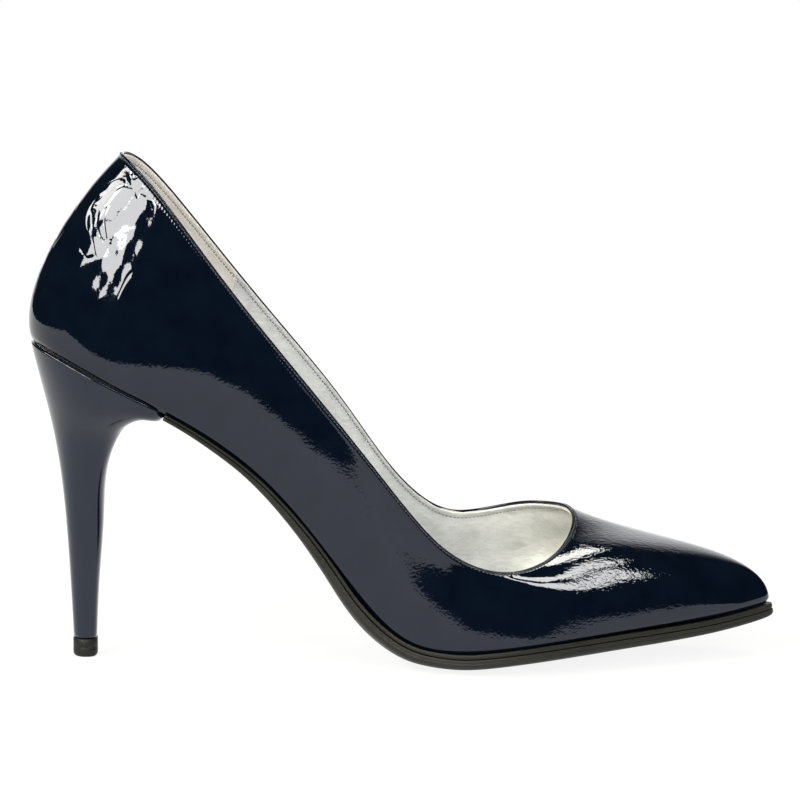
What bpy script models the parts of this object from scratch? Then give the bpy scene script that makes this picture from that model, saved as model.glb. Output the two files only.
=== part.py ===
"""A high-heeled court shoe for the right foot, built as its separate pieces.

Sizes are in millimetres until a piece is made. x runs from the back of the heel to the
toe, y is negative on the outer side of the foot, and z is the height above the floor.

The shoe is drawn on two surfaces. The seat is the curved sheet under the foot, and every
flat piece lies at some height h from it. The wall is the outside of the upper, and
every layer of the upper lies at some depth inside it.
"""

import math

import bmesh
import bpy
import numpy as np

CENTRE = (120.05, 0.22)  # x and y of the middle of the whole shoe

# The seat along the middle of the shoe: x and z.
SEAT_LINE = [
    (0, 103.7), (10, 99.4), (20, 94.1), (34, 86.8), (48, 79.6), (62, 70.5),
    (76, 58.9), (88, 45.2), (98, 31.1), (106, 19), (114, 10.6), (122, 5.9),
    (131, 4.4), (140, 4.25), (152, 5.5), (170, 8.1), (195, 11.3), (220, 14.1), (239, 17.4),
]
# How the seat is bowed from side to side: x, how far its edges have risen, the y of its
# lowest line, and how far from that line the edges are.
SEAT_BOW = [
    (0, 1.15, 0, 24.4), (30, 1.35, 0, 24.4), (62, 1.3, -1.2, 20.8), (85, 2.2, -3.8, 19.4),
    (98, 3.7, -4.4, 20.2), (107, 4.5, -4.2, 22), (116, 4.4, -3.7, 24.6), (125, 3.6, -3, 27.6),
    (135, 3, -2, 31.4), (146, 2.9, -0.8, 34.6), (158, 2.8, 0, 36), (185, 2.6, 0, 36),
    (239, 2, 0, 36),
]

# The ribs of the wall, from the back of the heel round the outer side to the toe and back
# along the inner side. Each has its foot (x, y) on the seat, its top (x, y, z) on the
# topline, and how far the two handles of its curve are from its foot and its top.
RIBS = [
    ((1.5, 0), (30.9, 0, 163.8), (-5.4, 0, 15.6), (-17.2, 0, -16)),
    ((7, -14.8), (34.6, -12, 161.4), (-3.6, -3.6, 17), (-15, -5, -17.5)),
    ((24, -24), (44.5, -19.3, 151), (1, -2.1, 18), (-9.5, -3.8, -19)),
    ((50, -23.7), (63, -23.4, 126.5), (2.5, -2.6, 16), (-5, -1.3, -16)),
    ((76, -22.5), (82, -24.7, 102.3), (0, -3.4, 13), (-2.5, 0, -14)),
    ((98, -24.6), (100, -26.4, 80.2), (-3, -2.9, 13.5), (-0.5, -0.2, -15)),
    ((118, -29.1), (116, -28.5, 60), (-3.5, -1.3, 15), (1, 0.4, -16)),
    ((137, -34.1), (131, -30.7, 42.8), (-1.5, 0.6, 11), (2, -0.3, -11.5)),
    ((156, -36.3), (144.5, -32.1, 35), (0, 0.5, 8.5), (4, -2.5, -8)),
    ((176, -32.1), (156, -28.6, 33.2), (1.5, 0.6, 8), (8, -6.2, -4.9)),
    ((200, -21.5), (165.4, -21, 35.2), (2, -2.5, 7.9), (15.1, -6.3, -2.8)),
    ((224, -10.7), (171.5, -11, 39.1), (2, -0.6, 10.8), (25, -4.7, 0.1)),
    ((238.2, 0), (174.7, 1.5, 43.8), (0.8, 2, 15.6), (32.6, 5.2, -6.7)),
    ((224, 9.5), (173, 12, 46.8), (2, 2.9, 13.3), (22.8, 4.3, -10.6)),
    ((200, 22.3), (167.5, 21, 46.6), (1.5, 2.4, 10.1), (15, 3, -11.7)),
    ((176, 34.8), (158, 27.9, 45.3), (1, 2.5, 9.5), (8.5, 5.9, -8.4)),
    ((156, 36.2), (144.5, 31.8, 42.2), (0, 3.2, 10), (4, 4.8, -10.5)),
    ((137, 29.8), (131, 31, 43.6), (-1.5, 5.5, 10), (1.5, 2.5, -13)),
    ((118, 21.3), (116, 29, 57.3), (-3, 6.5, 13), (0, 1.5, -16)),
    ((98, 15.2), (100, 27, 80), (-2.5, 8, 11.5), (-1, 0.8, -16)),
    ((76, 15.8), (82, 25.4, 102.8), (0, 7, 12), (-2.5, 0.8, -15)),
    ((50, 21.8), (63, 23.8, 126.5), (2.5, 4, 15), (-5, 1.8, -16)),
    ((24, 23.9), (44.5, 19.4, 150.4), (1, 3.5, 18), (-9.5, 4, -18.5)),
    ((7, 14.8), (34.6, 12.4, 161), (-3.6, 3.6, 17), (-15, 5, -17.5)),
]
TOE = 12  # the rib at the tip of the toe
# Where the wall is sampled on each side, in ribs from the back of the heel to the toe.
STATIONS = [
    0, 0.35, 0.7, 1.05, 1.4, 1.8, 2.3, 2.8, 3.2, 3.7, 4.2, 4.65, 5.05, 5.4, 5.75,
    6.1, 6.5, 7, 7.6, 8.2, 8.8, 9.4, 10, 10.6, 11.1, 11.5, 11.75, 11.9, 12,
]
LEVELS = [0.1, 0.22, 0.35, 0.49, 0.63, 0.76, 0.86, 0.945]  # shares of the way up the wall

# Layers of the wall: depth of the outer and the inner face, low down and at the topline.
UPPER = ((0, 0), (1.1, 0.75))
STIFFENER = ((1.25, 1.25), (2.05, 2.05))
TAPE = ((0.87, 0.87), (1.07, 1.07))
LINING = ((2.2, 1.2), (2.85, 1.8))
HEEL_LINING_TO = 3.2  # ribs from the back where the heel lining meets the front lining
COUNTER_TO, SIDE_TO = 3.7, 8.8  # ribs where the counter and the side interlinings end

# Flat pieces: heights above the seat.
MIDSOLE_THICK = [(40, 0.7), (90, 1.0), (130, 1.5), (239, 1.6)]
OUTSOLE_THICK = [(40, 1.1), (70, 1.6), (95, 2.7), (125, 3.3), (200, 3.2), (239, 2.5)]
BOARD = (3.0, 4.5)
SHANK_BOARD = (4.65, 6.65)
SHANK_STRIP = (4.7, 5.9)
PAD = (6.8, 8.2)
FORE_PAD = (4.7, 6.5)
SOCK_LIFT = [(52, 8.4), (66, 6.9), (126, 6.9), (239, 6.8)]
SOCK_THICK = 0.8

# Outlines of the heel from its seat down: back x, widest x, front x, half width, how
# square the front is, and the height at the back and at the front. The first two lie on
# the seat, at a height h from it.
HEEL_TOP = [(1.2, 26, 44.8, 24.8, 7, -0.2), (2.7, 26, 44.7, 24.1, 7, -2.6)]
HEEL_STEM = [
    (4.8, 24, 37.4, 21.4, 6, 88, 79.6), (7.7, 21, 30.6, 15.1, 4, 75.8, 74.8),
    (9.9, 19, 25.8, 10.2, 3.4, 63.5, 63.5), (11.9, 18.2, 24, 7.2, 3, 45, 45),
    (13.2, 17.9, 22.5, 5.6, 3, 25, 25), (14.1, 17.8, 21.6, 4.7, 3, 6.3, 6.3),
]
COVER_THICK = 0.8
STEM_AXIS = 17.9
TOP_PIECE_TOP = 6.0
DOWEL = (2.0, 1.35, 6.6, 74.0)  # outer radius, inner radius, bottom and top
TIP_PIN = (1.2, 2.9, 18.0)  # radius, bottom and top

NAILS = {  # x and y on the board, and the point in the heel that the nail is driven at
    "heel_nail_back": ((12.5, 0), (14.5, 0, 78)),
    "heel_nail_outer_rear": ((17, -9.5), (18, -6, 78)),
    "heel_nail_inner_rear": ((17, 9.5), (18, 6, 78)),
    "heel_nail_outer_front": ((29, -9), (26, -5.5, 76)),
    "heel_nail_inner_front": ((29, 9), (26, 5.5, 76)),
}
NAIL = [(0, 1.9), (0.9, 1.9), (0.9, 0.9), (13, 0.9), (15.5, 0.25)]  # along it, and radius
SCREW_AT = ((19.5, 0), (19, 0, 74))
SCREW = [(0, 3.2), (1.5, 1.8), (14, 1.8), (17, 0.4)]
RIVETS = {"shank_rivet_rear": 38, "shank_rivet_front": 112}
CLEARANCE = 0.2

LOOKS = {  # colour, roughness, metallic
    "upper": ((0.012, 0.018, 0.034), 0.12, 0),
    "topline_tape": ((0.75, 0.73, 0.68), 0.9, 0),
    "heel_counter": ((0.46, 0.36, 0.25), 0.8, 0),
    "interlining_outer": ((0.82, 0.8, 0.74), 0.95, 0),
    "interlining_inner": ((0.82, 0.8, 0.74), 0.95, 0),
    "toe_puff": ((0.62, 0.55, 0.42), 0.85, 0),
    "front_lining": ((0.56, 0.57, 0.54), 0.42, 0.55),
    "heel_lining": ((0.46, 0.42, 0.37), 0.7, 0),
    "midsole": ((0.035, 0.036, 0.032), 0.55, 0),
    "outsole": ((0.028, 0.03, 0.026), 0.5, 0),
    "forepart_filler": ((0.5, 0.32, 0.17), 0.95, 0),
    "insole_board": ((0.55, 0.42, 0.28), 0.85, 0),
    "shank_board": ((0.33, 0.24, 0.17), 0.85, 0),
    "steel_shank": ((0.5, 0.51, 0.53), 0.35, 1),
    "heel_pad": ((0.78, 0.75, 0.66), 0.95, 0),
    "forefoot_pad": ((0.8, 0.77, 0.68), 0.95, 0),
    "sock_lining": ((0.56, 0.57, 0.54), 0.45, 0.5),
    "heel_core": ((0.62, 0.6, 0.55), 0.5, 0),
    "heel_cover": ((0.045, 0.05, 0.062), 0.35, 0),
    "heel_dowel": ((0.5, 0.5, 0.52), 0.3, 1),
    "top_piece": ((0.02, 0.021, 0.02), 0.45, 0),
    "top_piece_pin": ((0.55, 0.55, 0.57), 0.3, 1),
    "metal": ((0.5, 0.5, 0.52), 0.35, 1),
}


def cubic(x, y, at, loop=False):
    """The smooth cubic through the points (x, y), at the places `at`. In a loop the last
    point repeats the first."""
    x, y, at = np.asarray(x, float), np.asarray(y, float), np.asarray(at, float)
    n = len(x)
    gap = np.diff(x)
    slope = (np.diff(y, axis=0).T / gap).T
    rows = np.zeros((n, n))
    right = np.zeros((n,) + y.shape[1:])
    for i in range(1, n - 1):
        rows[i, i - 1 : i + 2] = gap[i - 1], 2 * (gap[i - 1] + gap[i]), gap[i]
        right[i] = 6 * (slope[i] - slope[i - 1])
    rows[0, 0] = rows[-1, -1] = 1
    if loop:
        rows[0, -1] = -1
        rows[-1] = 0
        rows[-1, [0, 1]] = 2 * gap[0], gap[0]
        rows[-1, [-2, -1]] += gap[-1], 2 * gap[-1]
        right[-1] = 6 * (slope[0] - slope[-1])
    bend = np.linalg.solve(rows, right.reshape(n, -1)).reshape(right.shape)
    i = np.clip(np.searchsorted(x, at, side="right") - 1, 0, n - 2)
    shape = at.shape + (1,) * (y.ndim - 1)
    b, a, g = (at - x[i]).reshape(shape), (x[i + 1] - at).reshape(shape), gap[i].reshape(shape)
    return (
        (bend[i] * a**3 + bend[i + 1] * b**3) / (6 * g)
        + (y[i] / g - bend[i] * g / 6) * a
        + (y[i + 1] / g - bend[i + 1] * g / 6) * b
    )


def between(table, x):
    """A straight-line reading of a table of (x, value)."""
    keys, values = zip(*table)
    return np.interp(x, keys, values)


def ease(low, high, x):
    """0 below low, 1 above high, and smooth in between."""
    t = np.clip((np.asarray(x, float) - low) / (high - low), 0, 1)
    return t * t * (3 - 2 * t)


def seat_line(x):
    keys, heights = zip(*SEAT_LINE)
    return cubic(keys, heights, np.clip(x, -5, 244))


def on_seat(x, y, h):
    """Points at a height h from the seat, straight out from its line along the shoe."""
    x, y = np.asarray(x, float), np.asarray(y, float)
    slope = (seat_line(x + 0.5) - seat_line(x - 0.5)) / 1.0
    size = np.sqrt(1 + slope**2)
    keys, *shape = zip(*SEAT_BOW)
    rise, middle, half = np.moveaxis(cubic(keys, np.transpose(shape), np.clip(x, 0, 239)), -1, 0)
    z = seat_line(x) + rise * ((y - middle) / half) ** 2 + h / size
    return np.stack(np.broadcast_arrays(x - h * slope / size, y, z), axis=-1)


def rails(at):
    """The four ends and handles of the wall's ribs, at places counted in ribs."""
    foot = np.array([on_seat(f[0], f[1], 0.0) for f, _, _, _ in RIBS])
    top = np.array([t for _, t, _, _ in RIBS], float)
    low = foot + [a for _, _, a, _ in RIBS]
    high = top + [b for _, _, _, b in RIBS]
    keys = np.arange(len(RIBS) + 1)
    at = np.mod(at, len(RIBS))
    return [cubic(keys, np.vstack([r, r[:1]]), at, loop=True) for r in (foot, low, high, top)]


def wall(at, up, depth=0.0):
    """Points of the wall: places in ribs by shares of the way up, `depth` in from the outside."""
    at, up = np.asarray(at, float), np.asarray(up, float)

    def surface(at, up):
        a, b, c, d = (r[:, None] for r in rails(at))
        t = up[None, :, None]
        return (1 - t) ** 3 * a + 3 * t * (1 - t) ** 2 * b + 3 * t**2 * (1 - t) * c + t**3 * d

    e = 0.004
    along = surface(at + e, up) - surface(at - e, up)
    upward = surface(at, up + e) - surface(at, up - e)
    out = np.cross(along, upward)
    out /= np.linalg.norm(out, axis=-1, keepdims=True)
    return surface(at, up) - out * (np.broadcast_to(depth, up.shape) * near_tip(at))[..., None]


def near_tip(at):
    """Layers get thinner at the pointed tip of the toe."""
    back = 238.2 - rails(at)[0][:, 0]
    return (1 - 0.3 * np.exp(-((back / 7) ** 2)))[:, None]


def feather(at, inset):
    """x and y of the edge of the seat, moved in by `inset`."""
    at = np.asarray(at, float)
    here = rails(at)[0][:, :2]
    run = rails(at + 0.01)[0][:, :2] - rails(at - 0.01)[0][:, :2]
    run /= np.linalg.norm(run, axis=1, keepdims=True)
    out = np.stack([run[:, 1], -run[:, 0]], axis=1)
    # Along the sides the edge moves straight across, so that layers keep the same x.
    sideways = ease(0.6, 0.85, np.abs(run[:, 0]))
    across = np.stack([0 * sideways, -1 / np.where(sideways > 0, run[:, 0], 1)], axis=1)
    out += (across - out) * sideways[:, None]
    return here - out * np.reshape(inset, (-1, 1))


def stations(start, end):
    """The sampled places on both sides, between two places, with those two."""
    both = sorted(set(STATIONS) | {len(RIBS) - s for s in STATIONS[1:]})
    both = [s - len(RIBS) for s in both[1:]] + both
    return [start] + [s for s in both if start + 0.02 < s < end - 0.02] + [end]


def place_of(x):
    """How far along the outer side, in ribs, the edge of the seat reaches this x."""
    at = np.linspace(0, TOE, 600)
    return float(np.interp(x, rails(at)[0][:, 0], at))


def material(name):
    colour, rough, metal = LOOKS.get(name, LOOKS["metal"])
    made = bpy.data.materials.new(name)
    made.use_nodes = True
    shader = made.node_tree.nodes["Principled BSDF"]
    shader.inputs["Base Color"].default_value = (*colour, 1)
    shader.inputs["Roughness"].default_value = rough
    shader.inputs["Metallic"].default_value = metal
    return made


def solid(name, faces):
    """One closed mesh from faces given as lists of corner points, in millimetres."""
    index, points, polygons = {}, [], []
    for face in faces:
        loop = []
        for corner in face:
            key = tuple(np.round(corner, 5) + 0.0)
            if key not in index:
                index[key] = len(points)
                points.append(
                    ((key[0] - CENTRE[0]) / 1000, (key[1] - CENTRE[1]) / 1000, key[2] / 1000)
                )
            if not loop or loop[-1] != index[key]:
                loop.append(index[key])
        if loop[0] == loop[-1]:
            loop.pop()
        if len(set(loop)) > 2:
            polygons.append(loop)
    mesh = bpy.data.meshes.new(name)
    mesh.from_pydata(points, [], polygons)
    shape = bmesh.new()
    shape.from_mesh(mesh)
    bmesh.ops.triangulate(shape, faces=[f for f in shape.faces if len(f.verts) > 3])
    bmesh.ops.recalc_face_normals(shape, faces=shape.faces)
    if shape.calc_volume(signed=True) < 0:
        bmesh.ops.reverse_faces(shape, faces=shape.faces)
    shape.to_mesh(mesh)
    shape.free()
    mesh.shade_smooth()
    made = bpy.data.objects.new(name, mesh)
    made.data.materials.append(material(name))
    bpy.context.scene.collection.objects.link(made)
    return made


def quads(a, b):
    """Faces of the strip between two lists of points."""
    return [(a[i], a[i + 1], b[i + 1], b[i]) for i in range(len(a) - 1)]


def sheet(grid):
    return [f for a, b in zip(grid[:-1], grid[1:]) for f in quads(a, b)]


def rim(grid):
    """The points round the edge of a grid, ending where they start."""
    return np.concatenate([grid[0], grid[1:, -1], grid[-1, -2::-1], grid[-2::-1, 0]])


def skin(name, outer, inner, loop=False):
    """A solid sheet between two grids. A loop's last row meets its first."""
    if not loop:
        return solid(name, sheet(outer) + sheet(inner) + quads(rim(outer), rim(inner)))
    outer, inner = np.concatenate([outer, outer[:1]]), np.concatenate([inner, inner[:1]])
    ends = [f for j in (0, -1) for f in quads(outer[:, j], inner[:, j])]
    return solid(name, sheet(outer) + sheet(inner) + ends)


def stack(name, grids):
    """A solid with its top at the first grid, its bottom at the last, and its edge through
    those between."""
    edges = [f for a, b in zip(grids[:-1], grids[1:]) for f in quads(rim(a), rim(b))]
    return solid(name, sheet(grids[0]) + sheet(grids[-1]) + edges)


def layer(name, start, end, ups, faces, margin):
    """A layer of the wall with the margin that turns in under the board. `faces` holds the
    depth of its two faces, low down and at the topline."""
    loop = end - start >= len(RIBS)
    at = np.array(stations(start, end)[: -1 if loop else None])
    grids = []
    for low, high in faces:
        depth = low + (high - low) * ease(0.8, 0.93, ups)
        grid = wall(at, ups, depth)
        if margin:
            edge = feather(at, low * near_tip(at)[:, 0])
            spine = np.stack([np.clip(edge[:, 0], 26, 206), 0 * at], axis=1)
            reach = spine - edge
            far = np.linalg.norm(reach, axis=1, keepdims=True)
            inside = edge + reach * np.minimum(margin / far, 0.6)
            h = low * near_tip(at)[:, 0]
            foot = [on_seat(*p.T, h)[:, None] for p in (inside, edge)]
            grid = np.concatenate(foot + [grid], axis=1)
        grids.append(grid)
    return skin(name, *grids, loop=loop)


def flat(start, end, columns, inset, h):
    """A grid on the seat between two places, `inset` in from its edge."""
    at = np.array(stations(start, end))
    outer = feather(at, inset)
    inner = feather(len(RIBS) - at, inset)
    share = np.linspace(0, 1, columns)[None, :, None]
    plan = outer[:, None] * (1 - share) + inner[:, None] * share
    height = h(plan[..., 0]) if callable(h) else h
    return on_seat(plan[..., 0], plan[..., 1], height)


def plate(name, start, end, columns, edge):
    """A flat piece on the seat. `edge` runs from its top to its bottom as (inset, h)."""
    return stack(name, [flat(start, end, columns, inset, h) for inset, h in edge])


def turned(name, start, aim, profile, sides=16):
    """A round piece along the line from start towards aim: (distance along it, radius)."""
    start = np.asarray(start, float)
    axis = np.asarray(aim, float) - start
    axis /= np.linalg.norm(axis)
    side = np.cross(axis, (0, 1, 0))
    side /= np.linalg.norm(side)
    other = np.cross(axis, side)
    turn = np.linspace(0, 2 * math.pi, sides + 1)
    turn[-1] = 0
    ring = np.cos(turn)[:, None] * side + np.sin(turn)[:, None] * other
    rings = [start + axis * along + ring * radius for along, radius in profile]
    ends = [list(rings[0][:-1]), list(rings[-1][:-1])]
    return solid(name, [f for a, b in zip(rings[:-1], rings[1:]) for f in quads(a, b)] + ends)


def cut(piece, start, aim, profile, wider=CLEARANCE):
    """Cuts a round hole through a piece, wider than what goes in it."""
    tool = turned("cutter", start, aim, [(d, r + wider) for d, r in profile], sides=12)
    tool.name = f"cut_{piece.name}_{len(piece.modifiers)}"
    tool.hide_render = True
    tool.display_type = "WIRE"
    hole = piece.modifiers.new("hole", "BOOLEAN")
    hole.operation = "DIFFERENCE"
    hole.solver = "EXACT"
    hole.object = tool


def heel_outline(back, widest, front, half, square, turn):
    """x and y of the heel's outline, for directions from the back (0) to the front (pi)."""
    rear = np.cos(turn) >= 0
    reach = np.where(rear, widest - back, front - widest)
    power = np.where(rear, 2.05, square)
    size = np.abs(np.cos(turn) / reach) ** power + np.abs(np.sin(turn) / half) ** power
    radius = size ** (-1 / power)
    return widest - radius * np.cos(turn), radius * np.sin(turn)


def heel_grid(turn, rows, depth=0.0):
    """The outside of the heel on its +y side: directions by rows, `depth` inside it."""

    def surface(turn, rows):
        lines = []
        for *shape, h in HEEL_TOP:
            lines.append(on_seat(*heel_outline(*shape, turn), h))
        for *shape, rear, front in HEEL_STEM:
            x, y = heel_outline(*shape, turn)
            share = (x - shape[0]) / (shape[2] - shape[0])
            lines.append(np.stack([x, y, rear + (front - rear) * share], axis=1))
        keys = [0, 2.5, 10, 20, 32, 51, 71, 90]
        return np.moveaxis(cubic(keys, np.array(lines), rows), 0, 1)

    e = 0.01
    down = surface(turn, np.clip(rows + e, 0, 90)) - surface(turn, np.clip(rows - e, 0, 90))
    around = surface(turn + e, rows) - surface(turn - e, rows)
    out = np.cross(around, down)
    out /= np.linalg.norm(out, axis=-1, keepdims=True)
    grid = surface(turn, rows) - out * depth
    x, y = heel_outline(*HEEL_TOP[0][:-1], turn)
    pull = np.stack([x - 26, y], axis=1)
    pull *= 1 - depth / np.linalg.norm(pull, axis=1, keepdims=True)
    grid[:, 0] = on_seat(pull[:, 0] + 26, pull[:, 1], HEEL_TOP[0][-1])
    grid[:, -1, 2] = HEEL_STEM[-1][-1]
    grid[[0, -1], :, 1] = 0
    return grid


def make_upper():
    ups = np.array(LEVELS + [1])
    lined = np.array(LEVELS + [0.985])
    layer("upper", 0, len(RIBS), ups, UPPER, 8.5)
    layer("topline_tape", 0, len(RIBS), np.array([0.945, 0.98]), TAPE, 0)
    layer("heel_counter", -COUNTER_TO, COUNTER_TO, np.array(LEVELS[:6]), STIFFENER, 6)
    layer(
        "interlining_outer", COUNTER_TO + 0.03, SIDE_TO, np.array(LEVELS[:6]), STIFFENER, 0
    )
    inner = (len(RIBS) - SIDE_TO, len(RIBS) - COUNTER_TO - 0.03)
    layer("interlining_inner", *inner, np.array(LEVELS[:6]), STIFFENER, 0)
    puff = (SIDE_TO + 0.03, len(RIBS) - SIDE_TO - 0.03)
    layer("toe_puff", *puff, np.array(LEVELS[:5]), STIFFENER, 6)
    to = HEEL_LINING_TO
    layer("heel_lining", -to + 0.015, to - 0.015, lined, LINING, 7)
    layer("front_lining", to + 0.015, len(RIBS) - to - 0.015, lined, LINING, 7)


def make_bottom():
    breast = place_of(45)

    def midsole(x):
        return -0.15 - between(MIDSOLE_THICK, x)

    def outsole(share):
        return lambda x: midsole(x) - 0.15 - share * between(OUTSOLE_THICK, x)

    at = np.array(stations(breast, TOE))
    proud = 0.15 + 0.65 * ease(95, 140, rails(at)[0][:, 0])
    plate("midsole", breast, TOE, 7, [(-proud, -0.15), (-proud, midsole)])
    edge = [(-proud, outsole(0)), (-proud, outsole(0.45)), (0.5 - proud, outsole(0.8))]
    grids = [flat(breast, TOE, 7, inset, h) for inset, h in edge + [(2.6 - proud, outsole(1))]]
    for grid in grids:
        grid[..., 2] = np.maximum(grid[..., 2], 0)
    stack("outsole", grids)
    filler = (place_of(62), place_of(214))
    plate("forepart_filler", *filler, 5, [(10.6, 2.8), (10.6, 0.1)])
    make_boards()
    plate("forefoot_pad", 7, 10, 5, [(5.5, FORE_PAD[1]), (4.2, FORE_PAD[0])])
    plate("heel_pad", place_of(6), place_of(46), 5, [(7.5, PAD[1]), (5.5, PAD[0])])

    def sock(x):
        return between(SOCK_LIFT, x)

    sock_edge = [(4.3, lambda x: sock(x) + SOCK_THICK), (4.1, sock)]
    plate("sock_lining", place_of(4.5), place_of(222), 5, sock_edge)


def make_boards():
    board = plate("insole_board", 0, place_of(232), 5, [(3.3, BOARD[1]), (3.3, BOARD[0])])
    def shank_top(x):
        return SHANK_BOARD[1] - 1.4 * ease(100, 124, x)

    span = (place_of(5), 6.5)
    upper_board = plate(
        "shank_board", *span, 5, [(4.4, shank_top), (4.0, SHANK_BOARD[0])]
    )
    front = float(rails([6.1])[0][0, 0])
    strip = shank_strip("steel_shank", 27, front, 4.5, SHANK_STRIP)
    room = (SHANK_BOARD[0] - 1, SHANK_STRIP[1] + 0.2)
    slot = shank_strip("cut_slot", 26.5, front + 0.5, 5, room)
    slot.hide_render = True
    slot.display_type = "WIRE"
    channel = upper_board.modifiers.new("channel", "BOOLEAN")
    channel.operation = "DIFFERENCE"
    channel.solver = "EXACT"
    channel.object = slot
    for name, x in RIVETS.items():
        foot = on_seat(x, 0.0, BOARD[0] + 0.15)
        head = on_seat(x, 0.0, SHANK_STRIP[1] + 0.1)
        length = float(np.linalg.norm(head - foot))
        turned(name, foot, head, [(0, 1.2), (length, 1.2)], sides=12)
        for piece in (board, strip):
            cut(piece, foot + (foot - head), head, [(0, 1.2), (4 * length, 1.2)])
    drive(board, upper_board)


def shank_strip(name, start, end, half, heights):
    """A strip along the middle of the seat, narrower at its two ends."""
    lines = rails(stations(place_of(start), place_of(end)))[0][:, 0]
    x = np.concatenate([[start], lines[1:-1], [end]])
    width = np.full(len(x), half)
    width[[0, -1]] = half * 0.6
    share = np.linspace(-1, 1, 3)
    grids = [on_seat(x[:, None], width[:, None] * share, h) for h in heights[::-1]]
    return stack(name, grids)


def drive(*boards):
    """The screw and nails that hold the heel, and the holes that they go through."""
    core = bpy.data.objects["heel_core"]
    top = SHANK_BOARD[1]
    for name, (foot, aim) in {**NAILS, "heel_screw": SCREW_AT}.items():
        shape = SCREW if name == "heel_screw" else NAIL
        head = on_seat(float(foot[0]), float(foot[1]), top - 0.3 - shape[0][1] / 2)
        turned(name, head, aim, shape, sides=10)
        above = head + (head - aim) / np.linalg.norm(head - aim) * 3
        sunk = [(0, shape[0][1])] + [(d + 3, r) for d, r in shape]
        for piece in (*boards, core):
            cut(piece, above, aim, sunk)


def make_heel():
    turn = np.linspace(0, math.pi, 17)
    rows = np.array([0, 2.5, 6, 10, 15, 20, 26, 32, 41, 51, 71, 90.0])

    def ring(depth):
        half = heel_grid(turn, rows, depth)
        return np.concatenate([half, half[-2:0:-1] * (1, -1, 1)])

    skin("heel_cover", ring(0), ring(COVER_THICK), loop=True)
    half = heel_grid(turn, rows, COVER_THICK + 0.2)
    share = np.linspace(-1, 1, 5)[None, :, None]
    grids = []
    for j in range(len(rows)):
        line = half[:, j][:, None]
        grid = np.concatenate([line[..., :1] + 0 * share, line[..., 1:2] * share], axis=2)
        if j == 0:
            grids.append(on_seat(grid[..., 0], grid[..., 1], HEEL_TOP[0][-1]))
        else:
            grids.append(np.concatenate([grid, line[..., 2:] + 0 * share], axis=2))
    core = stack("heel_core", grids)
    make_tip(core)


def make_tip(core):
    outer, inner, low, high = DOWEL
    tube = [(0, inner), (0, outer), (high - low, outer), (high - low, inner), (0, inner)]
    base = np.array((STEM_AXIS, 0, low))
    up = base + (0, 0, 10)
    turn = np.linspace(0, 2 * math.pi, 17)
    turn[-1] = 0
    ring = np.stack([np.cos(turn), np.sin(turn), 0 * turn], axis=1)
    rings = [base + ring * r + (0, 0, z) for z, r in tube]
    solid("heel_dowel", [f for a, b in zip(rings[:-1], rings[1:]) for f in quads(a, b)])
    cut(core, base - (0, 0, 5), up, [(0, outer), (high - low + 5.3, outer)])
    radius, pin_low, pin_high = TIP_PIN
    foot = (STEM_AXIS, 0, pin_low)
    turned("top_piece_pin", foot, up, [(0, radius), (pin_high - pin_low, radius)], sides=16)
    angles = np.linspace(0, math.pi, 13)
    share = np.linspace(-1, 1, 5)[None, :, None]
    grids = []
    for inset, z in ((0, TOP_PIECE_TOP), (0, 1.1), (0.35, 0.3), (1.1, 0)):
        shape = (13.9 + inset, 17.8, 21.8 - inset, 4.9 - inset, 3)
        x, y = heel_outline(*shape, angles)
        line = np.stack([x, y], axis=1)[:, None]
        flat_x = line[..., :1] + 0 * share
        grids.append(np.concatenate([flat_x, line[..., 1:] * share, 0 * flat_x + z], axis=2))
    tip = stack("top_piece", grids)
    cut(tip, (STEM_AXIS, 0, pin_low - 0.2), up, [(0, radius), (8, radius)], wider=0.15)


def main():
    for old in list(bpy.data.objects):
        bpy.data.objects.remove(old)
    make_heel()
    make_bottom()
    make_upper()


main()
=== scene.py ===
"""The looks of the high-heeled court shoe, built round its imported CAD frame.

Shapes are worked out in millimetres, with x from the back of the heel to the toe, y
negative on the outer side of the foot and z up from the floor, as the CAD source does.
`row` turns them into the frame's metres.
"""

import math

import bmesh
import bpy
import numpy as np
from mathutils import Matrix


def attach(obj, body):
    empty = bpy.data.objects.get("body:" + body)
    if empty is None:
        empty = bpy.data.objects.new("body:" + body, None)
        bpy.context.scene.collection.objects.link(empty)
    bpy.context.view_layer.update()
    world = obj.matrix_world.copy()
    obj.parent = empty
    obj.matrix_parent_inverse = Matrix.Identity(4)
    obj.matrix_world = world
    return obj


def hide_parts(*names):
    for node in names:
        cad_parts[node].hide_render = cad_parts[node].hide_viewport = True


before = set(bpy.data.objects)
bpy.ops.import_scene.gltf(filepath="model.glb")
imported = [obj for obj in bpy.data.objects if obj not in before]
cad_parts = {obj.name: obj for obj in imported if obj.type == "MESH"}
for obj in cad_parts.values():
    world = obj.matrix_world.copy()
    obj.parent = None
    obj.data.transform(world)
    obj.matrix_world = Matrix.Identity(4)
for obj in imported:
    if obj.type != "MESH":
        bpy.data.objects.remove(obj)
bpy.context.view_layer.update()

CENTRE = (120.05, 0.22, 0)  # the point of the drawing that lies over the frame's origin

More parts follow.
